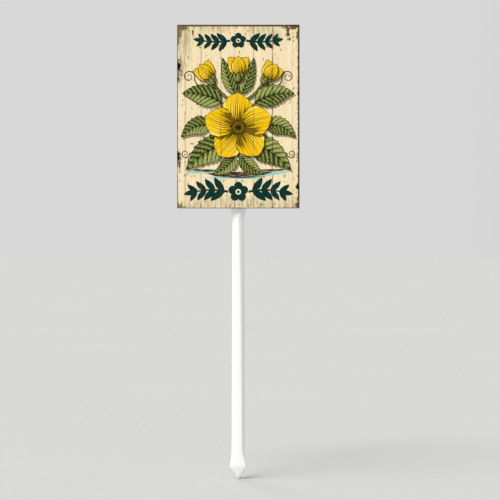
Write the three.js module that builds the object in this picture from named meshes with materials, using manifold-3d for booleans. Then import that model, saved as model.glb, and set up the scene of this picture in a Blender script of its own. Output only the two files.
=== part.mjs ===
// Garden plant marker: a printed sign panel taped to the flat head of a moulded plastic stake.
// Millimetres. +Z runs up the stake, +X is to the right of someone reading the sign, -Y faces them.
// The origin is on the stake's axis at the soil line, the depth it is pushed into a bed.

import * as THREE from 'three';
import { LoftGeometry } from 'three/addons/geometries/LoftGeometry.js';
import { mergeVertices } from 'three/addons/utils/BufferGeometryUtils.js';
import Module from 'manifold-3d';

// Sign: a rigid board with a printed film over its whole front
const SIGN_WIDTH = 101.6;
const SIGN_HEIGHT = 152.4;
const SIGN_CORNER_RADIUS = 0.8;
const PANEL_THICKNESS = 3;
const FILM_THICKNESS = 0.25;

// Stake heights
const STAKE_BELOW_SIGN = 225.3;
const SOIL_DEPTH = 90;
const HEAD_ABOVE_SIGN_BOTTOM = 78;
const FLARE_BELOW_SIGN = 7.3;
const FLARE_ABOVE_SIGN_BOTTOM = 22;
const SHOULDER_ABOVE_SIGN_BOTTOM = 4.6;
const BARB_LENGTH = 25.6;
const POINT_LENGTH = 10.2;
const TIP_BLUNTNESS = 0.3;

// Stake widths, across the sign
const HEAD_WIDTH = 26;
const SHAFT_WIDTH_AT_TOP = 9.8;
const SHAFT_WIDTH_AT_BARB = 10.9;
const BARB_WIDTH = 14.2;
const TIP_WIDTH = 1;
const HEAD_TOP_SQUARENESS = 3.2;

// Stake depths, from its flat back towards the reader
const STAKE_BACK = 2.6;
const HEAD_THICKNESS = 2.2;
const HEAD_WALL = 2.05;
const SIDE_WALL = 1.5;
const SHAFT_DEPTH_AT_TOP = 4.4;
const SHAFT_DEPTH_AT_BARB = 3.6;
const BARB_DEPTH = 3;
const TIP_DEPTH = 2.2;

// The shaft's front edges: they meet in a soft ridge under the sign and fade into plain bevels.
// A power of 1 is a flat bevel, 2 a full round.
const EDGE_POWER = 1.5;
const EDGE_RUN_AT_BARB = 2.3;
const EDGE_RUN_AT_POINT = 0.8;
const EDGE_FADE_LENGTH = 70;

// Pockets moulded into the shaft's back so that its walls cool evenly
const POCKET_COUNT = 8;
const POCKET_WIDTH = 4.6;
const POCKET_RIB = 2.4;
const POCKET_FRONT_WALL = 1.9;
const POCKET_CLEAR_OF_BARB = 6;

// Foam tape pads between the stake's head and the panel
const TAPE_THICKNESS = 1.1;
const TAPE_WIDTH = 20;
const TAPE_HEIGHT = 22;
const TAPE_LOWER_CENTRE = 33;
const TAPE_UPPER_CENTRE = 60;
const CONTACT_GAP = 0.02;

// Facets of the stake's surface
const EDGE_STEPS = 7;
const POINT_STEPS = 4;
const BARB_STEPS = 6;
const SHAFT_STEPS = 8;
const SHOULDER_STEPS = 8;
const FLARE_STEPS = 4;
const HEAD_STEPS = 2;
const HEAD_TOP_STEPS = 10;
const CURVE_STEPS = 5;
const MERGE_DISTANCE = 1e-4;

// Heights and depths that follow from the driving dimensions
const TIP = -SOIL_DEPTH;
const SIGN_BOTTOM = STAKE_BELOW_SIGN - SOIL_DEPTH;
const BARB_WIDEST = TIP + POINT_LENGTH;
const BARB_START = TIP + BARB_LENGTH;
const FLARE_BOTTOM = SIGN_BOTTOM - FLARE_BELOW_SIGN;
const FLARE_TOP = SIGN_BOTTOM + FLARE_ABOVE_SIGN_BOTTOM;
const SHOULDER_TOP = SIGN_BOTTOM + SHOULDER_ABOVE_SIGN_BOTTOM;
const HEAD_TOP = SIGN_BOTTOM + HEAD_ABOVE_SIGN_BOTTOM;
const HEAD_ROUND = HEAD_TOP - HEAD_WIDTH / 2;
const HEAD_FRONT = STAKE_BACK - HEAD_THICKNESS;
const TAPE_BACK = HEAD_FRONT - CONTACT_GAP;
const PANEL_BACK = TAPE_BACK - TAPE_THICKNESS - CONTACT_GAP;
const FILM_BACK = PANEL_BACK - PANEL_THICKNESS - CONTACT_GAP;

const { clamp, smoothstep, lerp, mapLinear } = THREE.MathUtils;
const wasm = await Module();
wasm.setup();

const whitePlastic = new THREE.MeshStandardMaterial({ color: 0xf4f4f0, roughness: 0.38, metalness: 0 });
const whiteBoard = new THREE.MeshStandardMaterial({ color: 0xf1f0ea, roughness: 0.6, metalness: 0 });
const creamPrint = new THREE.MeshStandardMaterial({ color: 0xf0debb, roughness: 0.42, metalness: 0 });
const greyFoam = new THREE.MeshStandardMaterial({ color: 0xd9d9d4, roughness: 0.85, metalness: 0 });

// Evenly spaced heights after `from`, up to and including `to`.
function heightsTo(from, to, steps) {
  return Array.from({ length: steps }, (_, i) => lerp(from, to, (i + 1) / steps));
}

// Half the stake's width: a point, a barb that widens in a hollow curve, a nearly
// straight shaft, a straight flare into the head, and a head with a squared, rounded top.
function stakeHalfWidth(z) {
  if (z <= TIP + TIP_BLUNTNESS) {
    return (TIP_WIDTH / 2) * Math.max(0, (z - TIP) / TIP_BLUNTNESS);
  }
  if (z <= BARB_WIDEST) {
    return mapLinear(z, TIP + TIP_BLUNTNESS, BARB_WIDEST, TIP_WIDTH / 2, BARB_WIDTH / 2);
  }
  if (z <= BARB_START) {
    const along = (BARB_START - z) / (BARB_START - BARB_WIDEST);
    return lerp(SHAFT_WIDTH_AT_BARB / 2, BARB_WIDTH / 2, along * along);
  }
  if (z <= FLARE_BOTTOM) {
    return mapLinear(z, BARB_START, FLARE_BOTTOM, SHAFT_WIDTH_AT_BARB / 2, SHAFT_WIDTH_AT_TOP / 2);
  }
  if (z <= HEAD_ROUND) {
    const flare = Math.min(1, (z - FLARE_BOTTOM) / (FLARE_TOP - FLARE_BOTTOM));
    return lerp(SHAFT_WIDTH_AT_TOP / 2, HEAD_WIDTH / 2, flare);
  }
  const rise = Math.min(1, (z - HEAD_ROUND) / (HEAD_TOP - HEAD_ROUND));
  return (HEAD_WIDTH / 2) * (1 - rise ** HEAD_TOP_SQUARENESS) ** (1 / HEAD_TOP_SQUARENESS);
}

// The shaft's full depth, which tapers to the barb and runs out at the tip.
function stakeDepth(z) {
  if (z <= BARB_WIDEST) {
    return mapLinear(z, TIP, BARB_WIDEST, TIP_DEPTH, BARB_DEPTH);
  }
  if (z <= BARB_START) {
    return mapLinear(z, BARB_WIDEST, BARB_START, BARB_DEPTH, SHAFT_DEPTH_AT_BARB);
  }
  return mapLinear(z, BARB_START, FLARE_BOTTOM, SHAFT_DEPTH_AT_BARB, SHAFT_DEPTH_AT_TOP);
}

// How far each front edge runs in from the side: half the width under the sign, so that
// the two edges meet in a ridge, then less and less towards the barb and the point.
function edgeRun(z) {
  const ridgeRun = SHAFT_WIDTH_AT_TOP / 2;
  const fade = Math.exp(Math.min(0, z - FLARE_BOTTOM) / EDGE_FADE_LENGTH);
  const shaftRun = lerp(EDGE_RUN_AT_BARB, ridgeRun, fade);
  return lerp(EDGE_RUN_AT_POINT, shaftRun, smoothstep(z, BARB_WIDEST, BARB_START));
}

// One closed section: a crowned front between two upright side walls, and a flat back.
// In the flare a sloping plane cuts the crown away, down to the head's flat front.
function stakeSection(z) {
  const halfWidth = stakeHalfWidth(z);
  const run = Math.min(edgeRun(z), halfWidth);
  const shaftDepth = stakeDepth(Math.min(z, FLARE_BOTTOM));
  const crown = Math.min(shaftDepth - SIDE_WALL, edgeRun(z));
  const headShare = clamp(mapLinear(z, FLARE_BOTTOM, SHOULDER_TOP, 0, 1), 0, 1);
  const wall = lerp(shaftDepth - crown, HEAD_WALL, headShare);
  const crownLeft = (lerp(shaftDepth, HEAD_THICKNESS, headShare) - wall) / crown;
  const reach = 1 - Math.max(0, 1 - crownLeft) ** (1 / EDGE_POWER);
  const roundness = smoothstep(z, BARB_START, FLARE_BOTTOM);
  const edge = Array.from({ length: EDGE_STEPS + 1 }, (_, i) => {
    const along = (reach * i) / EDGE_STEPS;
    const rise = crown * lerp(along, 1 - (1 - along) ** EDGE_POWER, roundness);
    return new THREE.Vector3(halfWidth - run * along, STAKE_BACK - wall - rise, z);
  });
  return [
    new THREE.Vector3(-halfWidth, STAKE_BACK, z),
    ...edge.map((point) => new THREE.Vector3(-point.x, point.y, z)),
    ...edge.reverse(),
    new THREE.Vector3(halfWidth, STAKE_BACK, z),
  ];
}

function stakeBlank() {
  const headTopHeights = Array.from({ length: HEAD_TOP_STEPS }, (_, i) => {
    const turn = ((i + 1) / HEAD_TOP_STEPS) * (Math.PI / 2);
    return lerp(HEAD_ROUND, HEAD_TOP, Math.sin(turn) ** (2 / HEAD_TOP_SQUARENESS));
  });
  const heights = [
    TIP,
    TIP + TIP_BLUNTNESS,
    ...heightsTo(TIP + TIP_BLUNTNESS, BARB_WIDEST, POINT_STEPS),
    ...heightsTo(BARB_WIDEST, BARB_START, BARB_STEPS),
    ...heightsTo(BARB_START, FLARE_BOTTOM, SHAFT_STEPS),
    ...heightsTo(FLARE_BOTTOM, SHOULDER_TOP, SHOULDER_STEPS),
    ...heightsTo(SHOULDER_TOP, FLARE_TOP, FLARE_STEPS),
    ...heightsTo(FLARE_TOP, HEAD_ROUND, HEAD_STEPS),
    ...headTopHeights,
  ];
  return new LoftGeometry(heights.map(stakeSection));
}

// A closed solid from a geometry: shared corners merged and collapsed triangles dropped.
function asSolid(geometry) {
  const bare = new THREE.BufferGeometry().copy(geometry);
  bare.deleteAttribute('normal');
  bare.deleteAttribute('uv');
  const merged = mergeVertices(bare, MERGE_DISTANCE);
  const triangles = [];
  for (let i = 0; i < merged.index.count; i += 3) {
    const corners = [0, 1, 2].map((k) => merged.index.getX(i + k));
    if (new Set(corners).size === corners.length) {
      triangles.push(...corners);
    }
  }
  const vertProperties = new Float32Array(merged.attributes.position.array);
  const triVerts = new Uint32Array(triangles);
  return new wasm.Manifold(new wasm.Mesh({ numProp: 3, vertProperties, triVerts }));
}

function asGeometry(solid) {
  const { vertProperties, triVerts } = solid.getMesh();
  const geometry = new THREE.BufferGeometry();
  geometry.setAttribute('position', new THREE.BufferAttribute(vertProperties, 3));
  geometry.setIndex(new THREE.BufferAttribute(triVerts, 1));
  geometry.computeVertexNormals();
  return geometry;
}

// A box cut into the stake's flat back, centred on height z.
function backPocket(z, length) {
  const depth = stakeDepth(z) - POCKET_FRONT_WALL;
  const geometry = new THREE.BoxGeometry(POCKET_WIDTH, 2 * depth, length);
  geometry.translate(0, STAKE_BACK, z);
  return geometry;
}

function stake() {
  const lowest = BARB_START + POCKET_CLEAR_OF_BARB;
  const pitch = (FLARE_BOTTOM - lowest) / POCKET_COUNT;
  let solid = asSolid(stakeBlank());
  for (let i = 0; i < POCKET_COUNT; i += 1) {
    const pocket = backPocket(lowest + (i + 0.5) * pitch, pitch - POCKET_RIB);
    solid = solid.subtract(asSolid(pocket));
  }
  const mesh = new THREE.Mesh(asGeometry(solid), whitePlastic);
  mesh.name = 'stake';
  return mesh;
}

// A sheet with the sign's outline, standing on the sign's lower edge with its back at y.
function signSheet(name, thickness, y, material) {
  const right = SIGN_WIDTH / 2;
  const radius = SIGN_CORNER_RADIUS;
  const outline = new THREE.Shape();
  outline.absarc(right - radius, radius, radius, -Math.PI / 2, 0, false);
  outline.absarc(right - radius, SIGN_HEIGHT - radius, radius, 0, Math.PI / 2, false);
  outline.absarc(radius - right, SIGN_HEIGHT - radius, radius, Math.PI / 2, Math.PI, false);
  outline.absarc(radius - right, radius, radius, Math.PI, 1.5 * Math.PI, false);
  const geometry = new THREE.ExtrudeGeometry(outline, {
    depth: thickness,
    bevelEnabled: false,
    curveSegments: CURVE_STEPS,
  });
  const mesh = new THREE.Mesh(geometry, material);
  mesh.name = name;
  mesh.rotation.x = Math.PI / 2;
  mesh.position.set(0, y, SIGN_BOTTOM);
  return mesh;
}

function tapePad(name, heightOnSign) {
  const mesh = new THREE.Mesh(new THREE.BoxGeometry(TAPE_WIDTH, TAPE_THICKNESS, TAPE_HEIGHT), greyFoam);
  mesh.name = name;
  mesh.position.set(0, TAPE_BACK - TAPE_THICKNESS / 2, SIGN_BOTTOM + heightOnSign);
  return mesh;
}

const plantMarker = new THREE.Group();
plantMarker.add(
  stake(),
  tapePad('foam_tape_lower', TAPE_LOWER_CENTRE),
  tapePad('foam_tape_upper', TAPE_UPPER_CENTRE),
  signSheet('sign_panel', PANEL_THICKNESS, PANEL_BACK, whiteBoard),
  signSheet('printed_film', FILM_THICKNESS, FILM_BACK, creamPrint),
);

export default plantMarker;
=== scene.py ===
"""Garden plant marker: a printed sign on a white moulded stake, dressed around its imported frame.

Meshes are in metres in the frame's axes: +Z up the stake, +X to the reader's right, -Y to the reader.
The print is drawn in millimetres about the sign's centre, u to the right and v up.
"""

import math
from collections import namedtuple
from functools import partial

import bmesh
import bpy
import numpy as np
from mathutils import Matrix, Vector
from mathutils.geometry import delaunay_2d_cdt


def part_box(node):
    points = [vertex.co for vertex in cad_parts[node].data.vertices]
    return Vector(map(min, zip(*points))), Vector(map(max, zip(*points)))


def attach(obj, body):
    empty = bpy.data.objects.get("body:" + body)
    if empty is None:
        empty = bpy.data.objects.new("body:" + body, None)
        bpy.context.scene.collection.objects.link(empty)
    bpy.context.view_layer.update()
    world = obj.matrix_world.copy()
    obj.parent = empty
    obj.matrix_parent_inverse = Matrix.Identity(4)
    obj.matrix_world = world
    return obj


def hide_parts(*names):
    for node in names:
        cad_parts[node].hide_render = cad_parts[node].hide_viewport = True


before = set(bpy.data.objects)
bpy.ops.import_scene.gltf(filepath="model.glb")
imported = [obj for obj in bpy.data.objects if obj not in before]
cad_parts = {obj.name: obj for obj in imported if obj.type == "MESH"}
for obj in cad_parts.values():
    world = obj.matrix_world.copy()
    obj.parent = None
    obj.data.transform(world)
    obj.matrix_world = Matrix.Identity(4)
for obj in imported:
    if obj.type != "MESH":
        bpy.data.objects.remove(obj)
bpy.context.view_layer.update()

bl_info = {
    "name": "Plant marker",
    "version": (1, 0, 0),
    "blender": (4, 5, 0),
    "location": "3D View > Sidebar > Plant marker",
    "description": "Builds the stake, sign board, tape and printed film of a garden plant marker",
    "category": "Add Mesh",
}

MM = 0.001
STAKE_LOW, STAKE_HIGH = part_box("stake")
BOARD_LOW, BOARD_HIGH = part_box("sign_panel")
FILM_LOW, FILM_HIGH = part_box("printed_film")
SIGN_CENTRE_Z = (BOARD_LOW.z + BOARD_HIGH.z) / 2
HALF_SIGN = Vector((FILM_HIGH.x - FILM_LOW.x, FILM_HIGH.z - FILM_LOW.z)) / (2 * MM)
SIGN_CORNER_RADIUS = 0.8 * MM
CREASE_ANGLE = math.radians(38)

# Sockets of the colour mix node, whose names are shared between data types
MIX_A, MIX_B, MIX_RESULT = 6, 7, 2
EASED = {"interpolation_type": "SMOOTHSTEP"}


def linear(hex_colour):
    """An sRGB hex colour as linear red, green, blue and full alpha."""
    parts = [int(hex_colour[i:i + 2], 16) / 255 for i in (1, 3, 5)]
    return (*(c / 12.92 if c <= 0.04045 else ((c + 0.055) / 1.055) ** 2.4 for c in parts), 1.0)


def size_of(name, description, default):
    return bpy.props.FloatProperty(
        name=name, description=description, default=default, min=0.0, precision=4, unit="LENGTH"
    )


def colour_of(name, description, hex_colour):
    return bpy.props.FloatVectorProperty(
        name=name, description=description, default=linear(hex_colour), size=4, min=0.0, max=1.0,
        subtype="COLOR",
    )


class MarkerStakeSettings(bpy.types.PropertyGroup):
    """Sizes of the stake that its packed box doesn't give, and its colours."""

    shaft_top_width: size_of("Shaft width at top", "Width just under the sign", 9.8 * MM)
    shaft_barb_width: size_of("Shaft width at barb", "Width where the barb starts", 10.9 * MM)
    barb_width: size_of("Barb width", "Widest part of the arrow point", 14.2 * MM)
    barb_length: size_of("Barb length", "From the tip to where the barb leaves the shaft", 25.6 * MM)
    point_length: size_of("Point length", "From the tip to the widest part", 10.2 * MM)
    head_thickness: size_of("Head thickness", "Plate behind the sign", 2.2 * MM)
    side_wall: size_of("Side wall", "Upright side of the shaft at its back", 1.5 * MM)
    barb_depth: size_of("Barb depth", "Thickness at the widest part of the point", 3.0 * MM)
    shaft_barb_depth: size_of("Shaft depth at barb", "Thickness above the barb", 3.6 * MM)
    pocket_width: size_of("Pocket width", "Coring pockets in the back", 4.6 * MM)
    white: colour_of("White", "Moulded plastic", "#F6F7F4")
    cool_white: colour_of("Cool white", "Plastic that cooled a little greyer", "#ECEFE9")
    speck: colour_of("Speck", "Stray dust moulded in", "#BBB9AC")


class MarkerBoardSettings(bpy.types.PropertyGroup):
    """The board that carries the print, and the tape that holds it."""

    edge_ease: size_of("Edge easing", "Radius that cutting leaves on the board's edges", 0.3 * MM)
    tape_bulge: size_of("Tape bulge", "How far pressed foam swells at its sides", 0.35 * MM)
    skin: colour_of("Board skin", "Smooth face of the foamed board", "#F1F1EC")
    scuffed: colour_of("Scuffed skin", "Handled and slightly greyed board", "#E2E1DA")
    open_cell: colour_of("Open cells", "Cut edge of the board", "#BDBBB2")
    foam: colour_of("Foam tape", "Pressed acrylic foam", "#D3D3CD")
    # Darker than the foam: the pores' own look and painted shade inside the open pores
    pore_shade: colour_of("Foam pores", "Open cells at the tape's cut sides", "#A9A9A3")


class MarkerPrintSettings(bpy.types.PropertyGroup):
    """Sizes and colours of the printed face."""

    line_weight: size_of("Line weight", "Drawn outlines", 0.6 * MM)
    blossom_reach: size_of("Blossom reach", "Length of a petal of the open blossom", 28.5 * MM)
    cream: colour_of("Cream paint", "Painted planks", "#ECD9B0")
    cream_light: colour_of("Fresh cream", "Paint in the middle of a plank", "#F3E3BE")
    cream_dark: colour_of("Aged cream", "Streaks along the printed grain", "#CBB68B")
    stain: colour_of("Stain", "Greyed paint near the ends of the planks", "#A39270")
    seam: colour_of("Seam", "Gaps between printed planks", "#3C3018")
    fleck: colour_of("Fleck", "Chips in the printed paint", "#8B7850")
    bare: colour_of("Bare wood", "Printed wood where paint has worn off", "#857550")
    bare_dark: colour_of("Dark wood", "Weathered wood at the very edge", "#463A20")
    nick: colour_of("Nick", "Knocks at the planks' edges", "#140E05")
    leaf: colour_of("Leaf", "Printed leaves", "#6E7A38")
    leaf_light: colour_of("Light leaf", "Lit part of a leaf", "#A6AC62")
    leaf_dark: colour_of("Dark leaf", "Leaf in shade", "#26310F")
    petal: colour_of("Petal", "Printed blossom", "#E8BA0A")
    petal_light: colour_of("Light petal", "Lit part of a petal", "#FFDC5E")
    petal_dark: colour_of("Petal shade", "Throat and folds of a blossom", "#7C6209")
    line: colour_of("Line", "Drawn outlines", "#181609")
    fold: colour_of("Petal fold", "Drawn folds in the petals", "#443808")
    teal: colour_of("Garland", "Dark green ornament", "#00302A")
    wash: colour_of("Wash", "Pale blue brush strokes", "#8DC3BF")
    shade: colour_of("Drawn shade", "Printed shadow under leaves and petals", "#2C240E")
    cut: colour_of("Cut film", "White vinyl at the film's sides and back", "#EFEEE8")
    cut_dull: colour_of("Dull cut film", "Cut film that has picked up dust", "#D9D6CC")


class MarkerStageSettings(bpy.types.PropertyGroup):
    """The camera and the studio light."""

    lens: bpy.props.FloatProperty(
        name="Lens", description="Focal length, long enough to keep the sign square", default=100.0,
        min=20.0, unit="CAMERA",
    )
    field: size_of("Field", "Height that the picture takes in at the sign", 415 * MM)
    aim_right: size_of("Aim right", "Picture centre to the right of the stake", 9.7 * MM)
    aim_drop: size_of("Aim down", "Picture centre below the sign's top", 187 * MM)
    floor: colour_of("Floor", "Plain pale floor", "#929291")
    floor_rolled: colour_of("Rolled floor", "Paint that the roller laid thicker", "#959594")
    sky: colour_of("Studio", "Soft light from all round", "#D8D8D8")


def fractions(steps):
    return [i / steps for i in range(steps + 1)]


def smooth(low, high, value):
    """0 at low and 1 at high, easing between them. Low may be the larger."""
    t = min(1.0, max(0.0, (value - low) / (high - low)))
    return t * t * (3 - 2 * t)


def mix(a, b, t):
    return a + (b - a) * t


def add_node(tree, kind, inputs=(), out=0, stops=(), **settings):
    """Adds a shader node with its settings, values, links and ramp stops, and returns one output."""
    node = tree.nodes.new("ShaderNode" + kind)
    for name, value in settings.items():
        setattr(node, name, value)
    for name, value in inputs.items() if isinstance(inputs, dict) else enumerate(inputs):
        if isinstance(value, bpy.types.NodeSocket):
            tree.links.new(value, node.inputs[name])
        else:
            node.inputs[name].default_value = value
    for i, (place, colour) in enumerate(stops):
        elements = node.color_ramp.elements
        element = elements[i] if i < 2 else elements.new(place)
        element.position = place
        element.color = colour
    return node.outputs[out]


def start_material(name, roughness, ior, specular=0.5):
    """A material with the shader's plain numbers set, a way to add its nodes, and its shader."""
    material = bpy.data.materials.new(name)
    material.use_nodes = True
    shader = material.node_tree.nodes["Principled BSDF"]
    shader.inputs["Roughness"].default_value = roughness
    shader.inputs["IOR"].default_value = ior
    shader.inputs["Specular IOR Level"].default_value = specular
    return material, partial(add_node, material.node_tree), shader


def connect(shader, sockets):
    for name, socket in sockets.items():
        shader.id_data.links.new(socket, shader.inputs[name])


def coated(node, base, coats):
    """Colours laid over a base colour in turn, each by its own factor."""
    for factor, colour in coats:
        base = node("Mix", {0: factor, MIX_A: base, MIX_B: colour}, MIX_RESULT, data_type="RGBA")
    return base


def new_piece(name, mesh, materials, slot, *nodes):
    """Puts a mesh in the scene as a piece that rides on the part and stands for those nodes."""
    for material in materials:
        mesh.materials.append(material)
    piece = bpy.data.objects.new(name, mesh)
    bpy.context.scene.collection.objects.link(piece)
    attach(piece, "root")
    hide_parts(*nodes)
    return piece


def soften(mesh):
    """Smooth shading, with creases kept where faces meet at a sharp angle."""
    work = bmesh.new()
    work.from_mesh(mesh)
    for face in work.faces:
        face.smooth = True
    for edge in work.edges:
        edge.smooth = len(edge.link_faces) == 2 and edge.calc_face_angle() < CREASE_ANGLE
    work.to_mesh(mesh)
    work.free()


def skin(name, rings):
    """A closed mesh through rings of equal length, capped at both ends."""
    count = len(rings[0])
    faces = [list(reversed(range(count)))]
    for r in range(len(rings) - 1):
        low, high = r * count, (r + 1) * count
        for i in range(count):
            j = (i + 1) % count
            faces.append((low + i, low + j, high + j, high + i))
    faces.append([(len(rings) - 1) * count + i for i in range(count)])
    mesh = bpy.data.meshes.new(name)
    mesh.from_pydata([p for ring in rings for p in ring], [], faces)
    return mesh


def rounded_rectangle(low, high, radius, steps):
    """A rectangle's outline between two corners, with round corners, anticlockwise."""
    points = []
    for turn, x, y in ((-1, 1, -1), (0, 1, 1), (1, -1, 1), (2, -1, -1)):
        corner = Vector((high[0] if x > 0 else low[0], high[1] if y > 0 else low[1]))
        centre = corner - Vector((x, y)) * radius
        for t in fractions(steps):
            angle = (turn + t) * math.pi / 2
            points.append(centre + Vector((math.cos(angle), math.sin(angle))) * radius)
    return points


# Stake

TIP_WIDTH = 1.0 * MM
TIP_DEPTH = 2.2 * MM
TIP_BLUNTNESS = 0.5 * MM
FLARE_BELOW_SIGN = 7.3 * MM
FLARE_ABOVE_SIGN = 22 * MM
SHOULDER_ABOVE_SIGN = 4.6 * MM
HEAD_WALL = 2.05 * MM
HEAD_TOP_SQUARENESS = 3.2
# A power of 1 gives the front edges a flat bevel, 2 a full round
EDGE_POWER = 1.5
EDGE_RUN_AT_BARB = 2.3 * MM
EDGE_RUN_AT_POINT = 0.8 * MM
EDGE_FADE_LENGTH = 70 * MM
EDGE_STEPS = 8
EASE_STEPS = 2
BACK_EASE = 0.4 * MM
FRONT_EASE = 0.35 * MM
# Share of a side that a rounded corner may take up
EASE_LIMIT = 0.45
TIP_RINGS = (0.02, 0.1, 0.25, 0.5, 0.75)
HEAD_TOP_STEPS = 24
SMALLEST_RING_GAP = 0.02 * MM
# Share of the back that the pockets' lines may take up where the stake narrows
BACK_SHARE = 0.6
POCKET_COUNT = 8
POCKET_RIB = 2.4 * MM
POCKET_FRONT_WALL = 1.9 * MM
POCKET_CLEAR_OF_BARB = 6 * MM
POCKET_DRAFT = 0.36 * MM
POCKET_LINES = (-0.12, 0.0, 0.2, 0.4, 0.6, 0.8, 1.0, 1.3)
PIN_RADIUS = 2.2 * MM
FLOOR_PIN_RADIUS = 1.3 * MM
PIN_DEPTH = 0.16 * MM
HEAD_PIN_HEIGHTS = (146 * MM, 200 * MM)
BARB_PIN_HEIGHT = -71 * MM
GATE_HEIGHT = 173 * MM
GATE_RADIUS = 1.1 * MM
GATE_DIMPLE_RADIUS = 3.2 * MM
GATE_DIMPLE_DEPTH = 0.4 * MM
CUTTER_CLEARANCE = 0.3 * MM
CUTTER_SIDES = 40


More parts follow.
